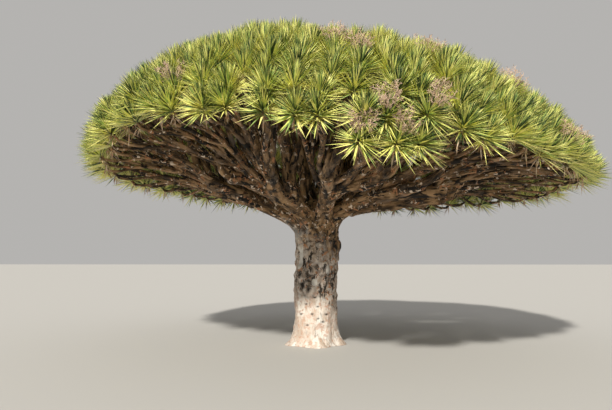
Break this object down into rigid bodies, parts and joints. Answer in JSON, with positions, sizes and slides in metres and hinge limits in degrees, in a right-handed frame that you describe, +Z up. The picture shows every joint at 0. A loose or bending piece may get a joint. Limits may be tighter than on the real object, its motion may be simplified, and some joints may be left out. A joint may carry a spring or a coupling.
{
  "type": "dragon blood tree",
  "caption": "Mature dragon blood tree with a thick pale trunk that forks into radiating boughs under an umbrella-shaped dome of spiky leaf rosettes.",
  "frame": {"origin": "middle of the flat cut under the trunk, at ground level", "axes": "+Z straight up; +Y away from the side that the picture shows, so the picture looks along +Y; +X to the right in the picture"},
  "size_m": [9.2347, 9.2168, 5.3946],
  "materials": {
    "trunk_bark": "matt, pale grey to cream, cracked and scarred",
    "bough_bark": "matt, dark brown with pale grey flakes",
    "foliage": "leathery, faintly waxy"
  },
  "bodies": {
    "root": {"trunk": "trunk_bark", "bough_low_1": "bough_bark", "bough_low_2": "bough_bark", "bough_low_3": "bough_bark", "bough_low_4": "bough_bark", "bough_low_5": "bough_bark", "bough_low_6": "bough_bark", "bough_low_7": "bough_bark", "bough_low_8": "bough_bark", "bough_side_1": "bough_bark", "bough_side_2": "bough_bark", "bough_side_3": "bough_bark", "bough_side_4": "bough_bark", "bough_side_5": "bough_bark", "bough_side_6": "bough_bark", "bough_side_7": "bough_bark", "bough_side_8": "bough_bark", "bough_riser_1": "bough_bark", "bough_riser_2": "bough_bark", "bough_riser_3": "bough_bark", "bough_riser_4": "bough_bark", "bough_riser_5": "bough_bark", "bough_riser_6": "bough_bark", "bough_riser_7": "bough_bark", "bough_riser_8": "bough_bark", "bough_centre_1": "bough_bark", "bough_centre_2": "bough_bark", "bough_centre_3": "bough_bark", "bough_centre_4": "bough_bark", "foliage_low_1": "foliage", "foliage_low_2": "foliage", "foliage_low_3": "foliage", "foliage_low_4": "foliage", "foliage_low_5": "foliage", "foliage_low_6": "foliage", "foliage_low_7": "foliage", "foliage_low_8": "foliage", "foliage_side_1": "foliage", "foliage_side_2": "foliage", "foliage_side_3": "foliage", "foliage_side_4": "foliage", "foliage_side_5": "foliage", "foliage_side_6": "foliage", "foliage_side_7": "foliage", "foliage_side_8": "foliage", "foliage_riser_1": "foliage", "foliage_riser_2": "foliage", "foliage_riser_3": "foliage", "foliage_riser_4": "foliage", "foliage_riser_5": "foliage", "foliage_riser_6": "foliage", "foliage_riser_7": "foliage", "foliage_riser_8": "foliage", "foliage_centre_1": "foliage", "foliage_centre_2": "foliage", "foliage_centre_3": "foliage", "foliage_centre_4": "foliage"}
  },
  "joints": []
}
